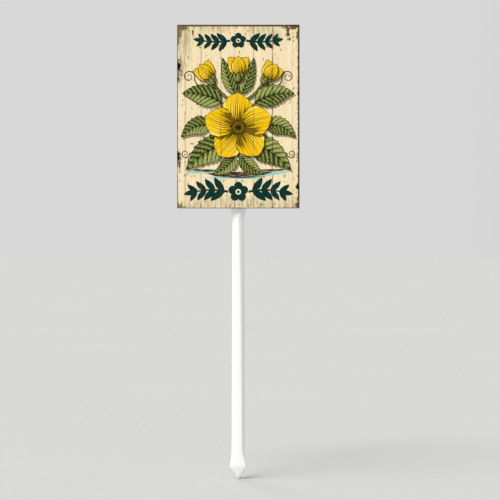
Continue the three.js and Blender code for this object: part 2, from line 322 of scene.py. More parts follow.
class StakeForm:
    """The stake's outline, depth and pockets as functions of height, from its settings and its box."""

    def __init__(self, settings):
        self.settings = settings
        self.tip = STAKE_LOW.z
        self.head_top = STAKE_HIGH.z
        self.back = STAKE_HIGH.y
        self.head_half = STAKE_HIGH.x
        self.depth_at_top = STAKE_HIGH.y - STAKE_LOW.y
        self.barb_widest = self.tip + settings.point_length
        self.barb_start = self.tip + settings.barb_length
        self.shoulder_top = BOARD_LOW.z + SHOULDER_ABOVE_SIGN
        self.flare_bottom = BOARD_LOW.z - FLARE_BELOW_SIGN
        self.flare_top = BOARD_LOW.z + FLARE_ABOVE_SIGN
        self.head_round = self.head_top - self.head_half
        lowest = self.barb_start + POCKET_CLEAR_OF_BARB
        pitch = (self.flare_bottom - lowest) / POCKET_COUNT
        self.pocket_half = (pitch - POCKET_RIB) / 2
        self.pockets = [lowest + (i + 0.5) * pitch for i in range(POCKET_COUNT)]

    def half_width(self, z):
        s = self.settings
        if z <= self.tip + TIP_BLUNTNESS:
            rise = max(0.0, (z - self.tip) / TIP_BLUNTNESS)
            return TIP_WIDTH / 2 * math.sqrt(rise * (2 - rise))
        if z <= self.barb_widest:
            along = (z - self.tip - TIP_BLUNTNESS) / (s.point_length - TIP_BLUNTNESS)
            return mix(TIP_WIDTH, s.barb_width, along) / 2
        if z <= self.barb_start:
            along = (self.barb_start - z) / (self.barb_start - self.barb_widest)
            return mix(s.shaft_barb_width, s.barb_width, along * along) / 2
        if z <= self.flare_bottom:
            along = (z - self.barb_start) / (self.flare_bottom - self.barb_start)
            return mix(s.shaft_barb_width, s.shaft_top_width, along) / 2
        if z <= self.head_round:
            flare = min(1.0, (z - self.flare_bottom) / (self.flare_top - self.flare_bottom))
            return mix(s.shaft_top_width / 2, self.head_half, flare)
        rise = min(1.0, (z - self.head_round) / (self.head_top - self.head_round))
        return self.head_half * (1 - rise ** HEAD_TOP_SQUARENESS) ** (1 / HEAD_TOP_SQUARENESS)

    def depth(self, z):
        s = self.settings
        if z <= self.barb_widest:
            return mix(TIP_DEPTH, s.barb_depth, (z - self.tip) / s.point_length)
        if z <= self.barb_start:
            along = (z - self.barb_widest) / (self.barb_start - self.barb_widest)
            return mix(s.barb_depth, s.shaft_barb_depth, along)
        along = (z - self.barb_start) / (self.flare_bottom - self.barb_start)
        return mix(s.shaft_barb_depth, self.depth_at_top, along)

    def edge_run(self, z):
        """How far a front edge runs in: half the width under the sign, less towards the barb."""
        fade = math.exp(min(0.0, z - self.flare_bottom) / EDGE_FADE_LENGTH)
        shaft_run = mix(EDGE_RUN_AT_BARB, self.settings.shaft_top_width / 2, fade)
        return mix(EDGE_RUN_AT_POINT, shaft_run, smooth(self.barb_widest, self.barb_start, z))

    def pocket_floor(self, centre):
        return self.depth(centre) - POCKET_FRONT_WALL

    def pocket_depth(self, x, z):
        """Depth of the coring pockets below the flat back, with drafted walls."""
        centre = min(self.pockets, key=lambda p: abs(p - z))
        rim = self.settings.pocket_width / 2
        across = smooth(rim, rim - POCKET_DRAFT, abs(x))
        along = smooth(self.pocket_half, self.pocket_half - POCKET_DRAFT, abs(z - centre))
        return self.pocket_floor(centre) * min(across, along)

    def heights(self):
        """Every height that the surface needs a ring at."""
        spans = (
            (self.tip + TIP_BLUNTNESS, self.barb_widest, 10),
            (self.barb_widest, self.barb_start, 16),
            (self.barb_start, self.flare_bottom, 40),
            (self.flare_bottom, self.shoulder_top, 32),
            (self.shoulder_top, self.flare_top, 8),
            (self.flare_top, self.head_round, 6),
        )
        found = {self.tip + TIP_BLUNTNESS * t for t in TIP_RINGS}
        for low, high, steps in spans:
            found.update(mix(low, high, t) for t in fractions(steps))
        for t in fractions(HEAD_TOP_STEPS)[1:-1]:
            rise = math.sin(t * math.pi / 2) ** (2 / HEAD_TOP_SQUARENESS)
            found.add(mix(self.head_round, self.head_top, rise))
        for centre in self.pockets:
            for line in POCKET_LINES:
                inset = self.pocket_half - line * POCKET_DRAFT
                found.update((centre - inset, centre + inset))
        kept = []
        for z in sorted(found):
            if not kept or z - kept[-1] > SMALLEST_RING_GAP:
                kept.append(z)
        return kept

    def ring(self, z):
        """The closed section at one height, from the back's left corner round the front.

        In the flare a sloping plane cuts the crown away, down to the head's flat front.
        """
        half = self.half_width(z)
        run = min(self.edge_run(z), half)
        shaft_depth = self.depth(min(z, self.flare_bottom))
        crown = min(shaft_depth - self.settings.side_wall, self.edge_run(z))
        slope = (z - self.flare_bottom) / (self.shoulder_top - self.flare_bottom)
        head_share = min(1.0, max(0.0, slope))
        wall = mix(shaft_depth - crown, HEAD_WALL, head_share)
        crown_left = (mix(shaft_depth, self.settings.head_thickness, head_share) - wall) / crown
        reach = 1 - max(0.0, 1 - crown_left) ** (1 / EDGE_POWER)
        roundness = smooth(self.barb_start, self.flare_bottom, z)
        right = []
        for step in fractions(EDGE_STEPS):
            along = reach * step
            rise = crown * mix(along, 1 - (1 - along) ** EDGE_POWER, roundness)
            right.append(Vector((half - run * along, self.back - wall - rise)))
        left = [Vector((-p.x, p.y)) for p in right]
        front = [Vector((-half, self.back)), *left, *reversed(right), Vector((half, self.back))]
        eases = [BACK_EASE, *([FRONT_EASE] * (len(front) - 2)), BACK_EASE]
        points = eased(front, eases)
        rim = self.settings.pocket_width / 2
        lines = [rim - line * POCKET_DRAFT for line in POCKET_LINES] + [rim / 2]
        squeeze = min(1.0, BACK_SHARE * half / rim)
        across = [x * squeeze for x in (*lines, 0.0, *(-x for x in reversed(lines)))]
        points += [Vector((x, self.back - self.pocket_depth(x, z))) for x in across]
        return [Vector((p.x, p.y, z)) for p in points]


def eased(corners, reaches):
    """A closed outline with each corner rounded by a short curve that starts at its reach."""
    points = []
    for i, corner in enumerate(corners):
        before = corners[i - 1] - corner
        after = corners[(i + 1) % len(corners)] - corner
        reach = min(reaches[i], EASE_LIMIT * before.length, EASE_LIMIT * after.length)
        enter = corner + before.normalized() * reach
        leave = corner + after.normalized() * reach
        for t in fractions(EASE_STEPS):
            points.append(enter.lerp(corner, t).lerp(corner.lerp(leave, t), t))
    return points


def mould_marks(form):
    """Rounds left by ejector pins, and the gate's dimple, each (surface, z, inner, outer, depth)."""
    marks = [(form.back, z, 0.0, PIN_RADIUS, PIN_DEPTH) for z in (*HEAD_PIN_HEIGHTS, BARB_PIN_HEIGHT)]
    for centre in form.pockets:
        floor = form.back - form.pocket_floor(centre)
        marks.append((floor, centre, 0.0, FLOOR_PIN_RADIUS, PIN_DEPTH))
    marks.append((form.back, GATE_HEIGHT, GATE_RADIUS, GATE_DIMPLE_RADIUS, GATE_DIMPLE_DEPTH))
    return marks


def cutter_mesh(marks):
    """Short round plugs, or rings where there is an inner radius, that stand proud of the surface."""
    work = bmesh.new()
    for surface, z, inner, outer, depth in marks:
        top = surface + CUTTER_CLEARANCE
        bottom = surface - depth
        rows = []
        for radius, y in ((inner, top), (outer, top), (outer, bottom), (inner, bottom)):
            turns = [i * 2 * math.pi / CUTTER_SIDES for i in range(CUTTER_SIDES if radius else 1)]
            circle = [(radius * math.cos(a), y, z + radius * math.sin(a)) for a in turns]
            rows.append([work.verts.new(corner) for corner in circle])
        for low, high in zip(rows, rows[1:] + rows[:1] if inner else rows[1:]):
            for i in range(CUTTER_SIDES):
                j = (i + 1) % CUTTER_SIDES
                around = ((low, i), (low, j), (high, j), (high, i))
                corners = [row[k % len(row)] for row, k in around]
                work.faces.new(list(dict.fromkeys(corners)))
    bmesh.ops.recalc_face_normals(work, faces=work.faces)
    mesh = bpy.data.meshes.new("mould_marks")
    work.to_mesh(mesh)
    work.free()
    return mesh


def carved(mesh, cutter):
    """The mesh with the cutter's volume taken away."""
    body = bpy.data.objects.new("carved_body", mesh)
    tool = bpy.data.objects.new("carving_tool", cutter)
    for each in (body, tool):
        bpy.context.scene.collection.objects.link(each)
    cut = body.modifiers.new("marks", "BOOLEAN")
    cut.operation = "DIFFERENCE"
    cut.solver = "EXACT"
    cut.object = tool
    result = bpy.data.meshes.new_from_object(body.evaluated_get(bpy.context.evaluated_depsgraph_get()))
    for each in (body, tool):
        bpy.data.objects.remove(each)
    result.materials.clear()
    return result


def moulded_polypropylene(settings):
    """White polypropylene from an etched mould: satin, cloudy where it flowed, with stray specks."""
    material, node, shader = start_material("polypropylene_moulded_white", 0.36, 1.49)
    place = node("TexCoord", out="Object")
    flowing = node("VectorMath", (place, (1.0, 1.0, 0.25)), operation="MULTIPLY")
    flow = node("TexNoise", {"Vector": flowing, "Scale": 1 / (7 * MM), "Detail": 3.0})
    dust = node("TexVoronoi", {"Vector": place, "Scale": 1 / (6 * MM)})
    speck = node("MapRange", (dust, 0.03, 0.07, 0.35, 0.0))
    # The mould's etch is about 0.05 mm: drawn six times coarser so that it shows
    etch = node("TexNoise", {"Vector": place, "Scale": 1 / (0.3 * MM), "Detail": 2.0})
    coats = ((flow, settings.cool_white), (speck, settings.speck))
    connect(shader, {
        "Base Color": coated(node, settings.white, coats),
        "Roughness": node("MapRange", (flow, 0.3, 0.7, 0.3, 0.42)),
        "Normal": node("Bump", {"Strength": 0.12, "Distance": 0.05 * MM, "Height": etch}),
    })
    return material


class MARKER_OT_stake(bpy.types.Operator):
    """Moulds the stake: head, flare, shaft with coring pockets, and barbed point"""

    bl_idname = "plant_marker.stake"
    bl_label = "Stake"

    def execute(self, context):
        settings = context.scene.marker_stake
        form = StakeForm(settings)
        body = skin("moulded_stake", [form.ring(z) for z in form.heights()])
        mesh = carved(body, cutter_mesh(mould_marks(form)))
        soften(mesh)
        new_piece("moulded_stake", mesh, [moulded_polypropylene(settings)], "moulded_plastic", "stake")
        return {"FINISHED"}


# Board and tape

TAPE_NODES = ("foam_tape_lower", "foam_tape_upper")
TAPE_LAYERS = 8
TAPE_CORNER_RADIUS = 1.2 * MM
CORNER_STEPS = 6
BOARD_EDGE_STEPS = 4


def foamed_pvc(settings):
    """White foamed PVC board: a matt, faintly pebbled skin, and cut edges that show open cells."""
    material, node, shader = start_material("pvc_board_foamed_white", 0.55, 1.53)
    place = node("TexCoord", out="Object")
    normal = node("NewGeometry", out="Normal")
    facing = node("VectorMath", (normal, (0.0, 1.0, 0.0)), "Value", operation="DOT_PRODUCT")
    flat = node("Math", (facing,), operation="ABSOLUTE")
    cut = node("MapRange", (flat, 0.35, 0.75, 1.0, 0.0))
    # Cells are about 0.1 mm: drawn four times coarser so that they show
    cells = node("TexVoronoi", {"Vector": place, "Scale": 1 / (0.4 * MM)})
    open_cell = node("Math", (cut, cells), operation="MULTIPLY")
    handled = node("TexNoise", {"Vector": place, "Scale": 1 / (22 * MM), "Detail": 5.0})
    scuff = node("MapRange", (handled, 0.45, 0.75, 0.0, 0.4))
    pebble = node("TexNoise", {"Vector": place, "Scale": 1 / (0.9 * MM), "Detail": 2.0})
    height = node("Math", (open_cell, 3.0, pebble), operation="MULTIPLY_ADD")
    coats = ((scuff, settings.scuffed), (open_cell, settings.open_cell))
    connect(shader, {
        "Base Color": coated(node, settings.skin, coats),
        "Normal": node("Bump", {"Strength": 0.25, "Distance": 0.06 * MM, "Height": height}),
    })
    return material


def acrylic_foam(settings):
    """Pressed acrylic foam tape: dull and slightly grey, with pores along its knife-cut sides, their
    centres painted darker as shade inside them.
    """
    material, node, shader = start_material("acrylic_foam_tape_pressed", 0.82, 1.48)
    place = node("TexCoord", out="Object")
    # Pores are about 0.1 mm: drawn three times coarser so that they show
    pores = node("TexVoronoi", {"Vector": place, "Scale": 1 / (0.3 * MM)})
    # Painted shade: the pore colour goes where the bump sinks, standing in for shade inside the open
    # pores
    pore_shade_mask = node("MapRange", (pores, 0.1, 0.4, 0.8, 0.0))
    connect(shader, {
        "Base Color": coated(node, settings.foam, ((pore_shade_mask, settings.pore_shade),)),
        "Normal": node("Bump", {"Strength": 0.5, "Distance": 0.1 * MM, "Height": pores}),
    })
    return material


class MARKER_OT_sign_board(bpy.types.Operator):
    """Cuts the sign board, with its edges just eased"""

    bl_idname = "plant_marker.sign_board"
    bl_label = "Sign board"

    def execute(self, context):
        settings = context.scene.marker_board
        turns = [t * math.pi / 2 for t in fractions(BOARD_EDGE_STEPS)]
        front = [(1 - math.sin(a), BOARD_LOW.y + settings.edge_ease * (1 - math.cos(a))) for a in turns]
        back = [(inset, BOARD_LOW.y + BOARD_HIGH.y - y) for inset, y in reversed(front)]
        rings = []
        for inset, y in (*front, *back):
            gap = Vector((1, 1)) * settings.edge_ease * inset
            low = BOARD_LOW.xz + gap
            high = BOARD_HIGH.xz - gap
            outline = rounded_rectangle(low, high, SIGN_CORNER_RADIUS, CORNER_STEPS)
            rings.append([Vector((p.x, y, p.y)) for p in outline])
        mesh = skin("sign_board", rings)
        soften(mesh)
        new_piece("sign_board", mesh, [foamed_pvc(settings)], "foam_board", "sign_panel")
        return {"FINISHED"}


class MARKER_OT_foam_tape(bpy.types.Operator):
    """Presses the two pieces of foam tape between the stake's head and the board"""

    bl_idname = "plant_marker.foam_tape"
    bl_label = "Foam tape"

    def execute(self, context):
        settings = context.scene.marker_board
        material = acrylic_foam(settings)
        for node in TAPE_NODES:
            low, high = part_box(node)
            rings = []
            for t in fractions(TAPE_LAYERS):
                swell = Vector((1, 1)) * settings.tape_bulge * math.sin(t * math.pi)
                corners = (low.xz - swell, high.xz + swell)
                outline = rounded_rectangle(*corners, TAPE_CORNER_RADIUS, CORNER_STEPS)
                rings.append([Vector((p.x, mix(low.y, high.y, t), p.y)) for p in outline])
            mesh = skin("pressed_" + node, rings)
            soften(mesh)
            pad = new_piece("pressed_" + node, mesh, [material], "foam_tape", node)
        return {"FINISHED"}


# Printed film: one flat sheet divided along every drawn edge, so that each ink is a region of its mesh

Inked = namedtuple("Inked", "ink outline rib half_width")
INKS = ("planks", "wash", "ground", "leaf", "petal", "line", "fold", "teal", "cut_edge")
SHADE = "shade"
SHADE_DROP = Vector((1.1, -1.7))
MERGE_DISTANCE = 1e-4
# An outline grows this many times further at a blade's point than at its sides
POINT_GROWTH = 1.6
RIB_STATIONS = 60
DISC_STEPS = 36
LEAF_TEETH = 9
STEPS_PER_TOOTH = 12
VEIN_COUNT = 6
VEIN_START = 0.08
VEIN_PITCH = 0.125
VEIN_SLANT = 0.25
VEIN_END = 0.85
VEIN_GROWTH = 0.04
VEIN_STEPS = 8
MIDRIB_STEPS = 20
PETAL_STEPS = 48
PETAL_FOLDS = (-0.72, -0.5, -0.3, -0.14, 0.14, 0.3, 0.5, 0.72)
FOLD_STEPS = 14
FOLD_WEIGHT = 0.042
STEM_STEPS = 24
STEM_TAPER = 0.7
STEM_SHADE_DROP = SHADE_DROP * 0.7
CURL_STEPS = 72
CURL_LEAD = 0.35
CURL_TIGHTENING = 0.8
CURL_WIDTHS = (0.95, 0.4)
# Sideways spread and relative length of a bud's petals, and the spread of its cup's leaves
BUD_PETALS = ((0.42, 0.94), (-0.42, 0.94), (0.0, 1.0))
BUD_CUP = (0.5, -0.5, 0.0)
# Petals of the open blossom, numbered round it, from the lowest to the topmost
BLOSSOM_PETALS = (0, 2, 3, 1, 4)
THROAT_SHARE = 0.17
STAMEN_COUNT = 9
SPRIG_STEPS = 24
SPRIG_WIDTHS = (2.0, 1.2)
SPRIG_PAIRS = 4
SPRIG_LEAN = 0.8
SPRIG_LEAF_STEPS = 16
ROSETTE_LOBES = 5


class Rib:
    """A curve that a leaf, petal, stem or stroke is drawn about."""

    def __init__(self, start, bend, end):
        self.start = Vector(start)
        self.bend = Vector(bend)
        self.end = Vector(end)

    def at(self, t, sideways=0.0):
        """The point a share t along the curve, and sideways to its left."""
        first = self.start.lerp(self.bend, t)
        second = self.bend.lerp(self.end, t)
        ahead = (second - first).normalized()
        return first.lerp(second, t) + Vector((-ahead.y, ahead.x)) * sideways

    def points(self, steps):
        return [self.at(t) for t in fractions(steps)]

    def mirrored(self):
        flip = Vector((-1, 1))
        return Rib(self.start * flip, self.bend * flip, self.end * flip)


def blade_outline(rib, half_width, steps, grow=0.0):
    """The outline about a rib, half_width(t) to each side, grown outwards by its drawn line."""
    left = [rib.at(t, half_width(t) + grow) for t in fractions(steps)]
    right = [rib.at(t, -half_width(t) - grow) for t in fractions(steps)]
    reach = grow * POINT_GROWTH
    tip = rib.end + (rib.end - rib.bend).normalized() * reach
    foot = rib.start - (rib.bend - rib.start).normalized() * reach
    return [foot, *right, tip, *reversed(left)]


def stroke_outline(points, start_width, end_width):
    """The outline of a stroke along points, tapering from one width to the other."""
    left, right = [], []
    for i, point in enumerate(points):
        ahead = (points[min(i + 1, len(points) - 1)] - points[max(i - 1, 0)]).normalized()
        aside = Vector((-ahead.y, ahead.x)) * mix(start_width, end_width, i / (len(points) - 1)) / 2
        left.append(point + aside)
        right.append(point - aside)
    return [*right, *reversed(left)]


def towards(angle, length=1.0):
    return Vector((math.cos(angle), math.sin(angle))) * length


def leaf_shape(width, teeth):
    """A pointed oval with forward teeth along its margin, as a half width along its rib."""
    def half_width(t):
        oval = math.sin(math.pi * t ** 0.72) ** 0.9
        saw = (t * teeth) % 1.0
        return width / 2 * oval * (0.9 + 0.2 * saw ** 2)
    return half_width


def petal_shape(width):
    """Narrow at the throat, broad past the middle, drawn out to a point, with a wavy margin."""
    def half_width(t):
        body = math.sin(math.pi * t ** 1.25) ** 0.75
        return width / 2 * body * (1 + 0.04 * math.sin(t * 31) * t)
    return half_width


class Drawing:
    """The inked shapes of the print, from the bottom layer to the top one."""

    def __init__(self, line_weight):
        self.line_weight = line_weight
        self.shapes = []

    def ink(self, ink, outline, rib=None, half_width=1.0):
        points = [Vector(p) for p in outline]
        area = sum(a.cross(b) for a, b in zip(points, points[1:] + points[:1]))
        self.shapes.append(Inked(ink, points if area > 0 else points[::-1], rib, half_width))

    def disc(self, ink, centre, radius):
        turns = (2 * math.pi * t for t in fractions(DISC_STEPS)[:-1])
        self.ink(ink, [Vector(centre) + towards(a, radius) for a in turns])

    def stroke(self, ink, points, start_width, end_width):
        self.ink(ink, stroke_outline(points, start_width, end_width))

    def blade(self, ink, rib, half_width, width, steps):
        """A filled blade with its drawn outline and the shade that it casts."""
        outline = blade_outline(rib, half_width, steps, self.line_weight)
        self.ink(SHADE, [p + SHADE_DROP for p in outline])
        self.ink("line", outline)
        self.ink(ink, blade_outline(rib, half_width, steps), rib, width / 2)

    def leaf(self, rib, width):
        """A toothed leaf with its midrib and paired side veins."""
        half_width = leaf_shape(width, LEAF_TEETH)
        self.blade("leaf", rib, half_width, width, STEPS_PER_TOOTH * LEAF_TEETH)
        for i in range(VEIN_COUNT):
            foot = VEIN_START + i * VEIN_PITCH
            reach = 0.0
            while reach < 2 * VEIN_END * half_width(foot + VEIN_SLANT * reach) / width:
                reach += VEIN_GROWTH
            for side in (-1, 1):
                vein = []
                for t in fractions(VEIN_STEPS):
                    vein.append(rib.at(foot + VEIN_SLANT * reach * t, side * reach * t * width / 2))
                self.stroke("line", vein, 0.04 * width, 0.08)
        self.stroke("line", [rib.at(0.95 * t) for t in fractions(MIDRIB_STEPS)], 0.07 * width, 0.15)

    def petal(self, rib, width):
        """A petal with drawn folds that fan out from its throat."""
        half_width = petal_shape(width)
        self.blade("petal", rib, half_width, width, PETAL_STEPS)
        for share in PETAL_FOLDS:
            reach = 0.88 - 0.3 * abs(share)
            stations = [mix(0.12, reach, t) for t in fractions(FOLD_STEPS)]
            fold = [rib.at(t, share * half_width(t)) for t in stations]
            self.stroke("fold", fold, FOLD_WEIGHT * width, 0.12)
        middle = [rib.at(mix(0.1, 0.92, t)) for t in fractions(FOLD_STEPS)]
        self.stroke("line", middle, FOLD_WEIGHT * width, 0.14)

    def stem(self, rib, width):
        points = rib.points(STEM_STEPS)
        end_width = width * STEM_TAPER
        line = 2 * self.line_weight
        shade = stroke_outline(points, width + line, width + line)
        self.ink(SHADE, [p + STEM_SHADE_DROP for p in shade])
        self.stroke("line", points, width + line, end_width + line)
        self.ink("leaf", stroke_outline(points, width, end_width), rib, width)

    def tendril(self, foot, centre, radius, turns, side):
        """A thin curl from a stem to a spiral about a centre."""
        foot, centre = Vector(foot), Vector(centre)
        start = math.atan2(foot.y - centre.y, foot.x - centre.x)
        points = [foot]
        for t in fractions(CURL_STEPS):
            angle = start + side * (CURL_LEAD + turns * 2 * math.pi * t)
            points.append(centre + towards(angle, radius * (1 - CURL_TIGHTENING * t)))
        self.stroke("line", points, *CURL_WIDTHS)

    def bud(self, foot, angle, reach):
        """A half-open blossom from the side: three petals out of a green cup."""
        foot = Vector(foot)
        ahead = towards(angle)
        aside = Vector((-ahead.y, ahead.x))
        for spread, size in BUD_PETALS:
            tip = foot + (ahead + aside * spread) * reach * size
            bend = foot + (ahead - aside * spread * 0.1) * reach * 0.55
            self.petal(Rib(foot, bend, tip), reach * 0.5)
        for spread in BUD_CUP:
            tip = foot + (ahead + aside * spread) * reach * 0.36
            bend = foot + (ahead * 0.2 + aside * spread * 0.3) * reach
            width = reach * 0.17
            self.blade("leaf", Rib(foot, bend, tip), leaf_shape(width, 1), width, 16)

    def blossom(self, centre, reach):
        """An open blossom seen from the front: green sepals, broad petals and a ringed throat."""
        centre = Vector(centre)
        turn = 2 * math.pi / len(BLOSSOM_PETALS)
        for i in range(len(BLOSSOM_PETALS)):
            ahead = towards(math.pi / 2 + (i + 0.5) * turn, reach)
            width = reach * 0.3
            rib = Rib(centre, centre + ahead * 0.4, centre + ahead * 0.88)
            self.blade("leaf", rib, leaf_shape(width, 1), width, 20)
        for i in BLOSSOM_PETALS:
            ahead = towards(math.pi / 2 + i * turn, reach)
            aside = Vector((-ahead.y, ahead.x))
            bend = centre + ahead * 0.5 + aside * 0.05
            self.petal(Rib(centre, bend, centre + ahead), reach * 0.84)
        throat = THROAT_SHARE * reach
        self.disc("line", centre, throat + self.line_weight)
        self.disc("petal", centre, throat)
        self.disc("fold", centre, throat * 0.66)
        for t in fractions(STAMEN_COUNT)[:-1]:
            place = centre + towards(2 * math.pi * t, throat * 0.62)
            self.disc("line", place, throat * 0.2)
            self.disc("petal", place, throat * 0.13)
        self.disc("line", centre, throat * 0.3)

    def garland(self, height, reach, rise, leaf_length, rosette):
        """Two leafy sprigs that meet in a small lobed flower, in one dark ink."""
        for side in (-1, 1):
            start = (side * rosette, height)
            spine = Rib(start, (side * mix(rosette, reach, 0.5), height - rise), (side * reach, height))
            self.stroke("teal", spine.points(SPRIG_STEPS), *SPRIG_WIDTHS)
            for along in fractions(SPRIG_PAIRS - 1):
                t = mix(0.12, 0.93, along)
                size = mix(1.0, 0.72, along) * leaf_length
                ahead = (spine.at(t + 0.02) - spine.at(t - 0.02)).normalized()
                for lean in (SPRIG_LEAN, -SPRIG_LEAN):
                    tip = spine.at(t) + towards(math.atan2(ahead.y, ahead.x) + lean, size)
                    bend = spine.at(t).lerp(tip, 0.5) + ahead * size * 0.14
                    leaf = Rib(spine.at(t), bend, tip)
                    shape = leaf_shape(size * 0.44, 1)
                    self.ink("teal", blade_outline(leaf, shape, SPRIG_LEAF_STEPS))
            outward = (spine.end - spine.bend).normalized() * leaf_length
            last = Rib(spine.end, spine.end + outward * 0.35, spine.end + outward * 0.7)
            shape = leaf_shape(leaf_length * 0.34, 1)
            self.ink("teal", blade_outline(last, shape, SPRIG_LEAF_STEPS))
        centre = Vector((0.0, height))
        for t in fractions(ROSETTE_LOBES)[:-1]:
            lobe = centre + towards(math.pi / 2 + 2 * math.pi * t, rosette * 0.58)
            self.disc("teal", lobe, rosette * 0.42)
        self.disc("planks", centre, rosette * 0.28)
        self.disc("teal", centre, rosette * 0.14)


# Start, bend and tip of the left leaves, and their widths
LEFT_LEAVES = (
    ((-3, 19), (-9, 32), (-13, 48), 11),
    ((-14, 12), (-30, 21), (-46, 19), 18),
    ((-22, -8), (-36, -4), (-47, -17), 15),
    ((-9, -24), (-26, -24), (-43, -44), 22),
    ((-3, -33), (-7, -42), (-21, -48), 12),
)
WASH_STROKES = (
    ((-44, -46.2), (-22, -45.2), (2, -47.2), 4.4),
    ((44, -45.4), (20, -47.6), (-4, -48.8), 4.2),
    ((-30, -50.8), (-2, -50.2), (24, -51.6), 2.4),
)
GROUND_STROKES = (
    ((-26, -47.4), (-8, -48.8), (12, -47.4), 4.4),
    ((28, -46.4), (10, -48.4), (-8, -46.8), 4.0),
    ((-14, -50.0), (2, -50.8), (19, -49.8), 1.6),
    ((-39, -44.0), (-29, -45.4), (-16, -44.6), 2.2),
    ((40, -43.8), (29, -45.2), (16, -44.4), 2.2),
)
BLOSSOM_CENTRE = (0, -9)
SIDE_BUD_FOOT = (20, 27)
SIDE_BUD_LEAN = 0.63
SIDE_BUD_REACH = 20
TOP_BUD_FOOT = (0, 29)
TOP_BUD_REACH = 21
MAIN_STEM = ((0, 8), (1.5, 20), (0, 30))
MAIN_STEM_WIDTH = 1.8
SIDE_STEM_WIDTH = 1.5
# Foot, centre, radius, turns and way round of the right tendrils
TENDRILS = (((33, 24), (41, 33), 5.2, 1.6, -1), ((40, -30), (44, -31), 3.6, 1.5, 1))
# Height, half length, sag, leaf length and rosette radius of the garlands
GARLANDS = ((63, 30, 2, 11.0, 6.6), (-62.5, 36, -3, 14.0, 8.4))


def draw_sign(settings):
    """A symmetrical sprig of golden blossoms between two leafy garlands, on plain planks."""
    drawing = Drawing(settings.line_weight / MM)
    outline = rounded_rectangle(-HALF_SIGN, HALF_SIGN, SIGN_CORNER_RADIUS / MM, CORNER_STEPS)
    drawing.ink("planks", outline)
    for ink, strokes in (("wash", WASH_STROKES), ("ground", GROUND_STROKES)):
        for start, bend, end, width in strokes:
            rib = Rib(start, bend, end)
            drawing.ink(ink, blade_outline(rib, lambda t: width / 2 * math.sin(math.pi * t) ** 0.7, 30))
    drawing.stem(Rib(*MAIN_STEM), MAIN_STEM_WIDTH)
    bud_feet = {side: (side * SIDE_BUD_FOOT[0], SIDE_BUD_FOOT[1]) for side in (-1, 1)}
    for side, foot in bud_feet.items():
        drawing.stem(Rib((0, 12), (side * 11, 13), foot), SIDE_STEM_WIDTH)
        for (foot_u, foot_v), (u, v), radius, turns, way in TENDRILS:
            drawing.tendril((side * foot_u, foot_v), (side * u, v), radius, turns, side * way)
    for start, bend, end, width in LEFT_LEAVES:
        rib = Rib(start, bend, end)
        for each in (rib, rib.mirrored()):
            drawing.leaf(each, width)
    for side, foot in bud_feet.items():
        drawing.bud(foot, math.pi / 2 - side * SIDE_BUD_LEAN, SIDE_BUD_REACH)
    drawing.bud(TOP_BUD_FOOT, math.pi / 2, TOP_BUD_REACH)
    drawing.blossom(BLOSSOM_CENTRE, settings.blossom_reach / MM)
    for garland in GARLANDS:
        drawing.garland(*garland)
    return drawing.shapes


def film_mesh(shapes):
    """The sheet's front, split along every outline, closed by its thin sides and back."""
    corners, outlines = [], []
    for shape in shapes:
        outlines.append(list(range(len(corners), len(corners) + len(shape.outline))))
        corners.extend(shape.outline)
    flat, _, triangles, _, _, covers = delaunay_2d_cdt(corners, [], outlines, 1, MERGE_DISTANCE)
    work = bmesh.new()
    on_rib = work.loops.layers.uv.new("on_rib")
    in_shade = work.faces.layers.float.new("in_shade")
    verts = [work.verts.new((p.x * MM, FILM_LOW.y, SIGN_CENTRE_Z + p.y * MM)) for p in flat]
    ribs = {}
    for triangle, cover in zip(triangles, covers):
        top = max(i for i in cover if shapes[i].ink != SHADE)
        shape = shapes[top]
        face = work.faces.new([verts[i] for i in triangle])
        face.material_index = INKS.index(shape.ink)
        face[in_shade] = float(max(cover) > top)
        if shape.rib is None:
            continue
        if top not in ribs:
            ribs[top] = np.array(shape.rib.points(RIB_STATIONS))
        for loop, i in zip(face.loops, triangle):
            loop[on_rib].uv = place_on_rib(flat[i], ribs[top], shape.half_width)
    rim = [edge for edge in work.edges if len(edge.link_faces) == 1]
    grown = bmesh.ops.extrude_edge_only(work, edges=rim)["geom"]
    for vert in (v for v in grown if isinstance(v, bmesh.types.BMVert)):
        vert.co.y = FILM_HIGH.y
    back_rim = [e for e in grown if isinstance(e, bmesh.types.BMEdge) and len(e.link_faces) == 1]
    sides = [f for f in grown if isinstance(f, bmesh.types.BMFace)]
    back = bmesh.ops.contextual_create(work, geom=back_rim)["faces"]
    for face in (*sides, *back):
        face.material_index = INKS.index("cut_edge")
    bmesh.ops.recalc_face_normals(work, faces=work.faces)
    mesh = bpy.data.meshes.new("printed_face")
    work.to_mesh(mesh)
    work.free()
    return mesh


def place_on_rib(point, rib_points, half_width):
    """Where a point lies along a rib, 0 to 1, and across it, 0 to 1 with the rib at one half."""
    gaps = np.array(point) - rib_points
    nearest = int((gaps ** 2).sum(1).argmin())
    last = len(rib_points) - 1
    ahead = rib_points[min(nearest + 1, last)] - rib_points[max(nearest - 1, 0)]
    gap = gaps[nearest]
    sideways = (ahead[0] * gap[1] - ahead[1] * gap[0]) / np.hypot(*ahead)
    return nearest / last, 0.5 + 0.5 * sideways / half_width


# Places across the sign, strengths and half widths of the seams between printed planks
SEAMS = (
    (-44.0, 0.6, 0.7), (-30.8, 0.65, 0.7), (-14.2, 0.7, 0.7), (-2.8, 0.3, 0.7),
    (12.6, 0.65, 0.7), (28.4, 1.0, 0.95), (45.0, 0.3, 0.7),
)
# Millimetres by which the worn edge is wider on the right and at the top, and narrower opposite
WEAR_SHIFT = (0.4, 0.5)
# Paint chips: width and height of the cells that they lie in, radius, share left out and strength
CHIPS = ((5.2, 6.0, 0.2, 0.5, 0.85), (2.5, 3.9, 0.3, 0.42, 0.9), (1.2, 2.0, 0.25, 0.55, 0.7))
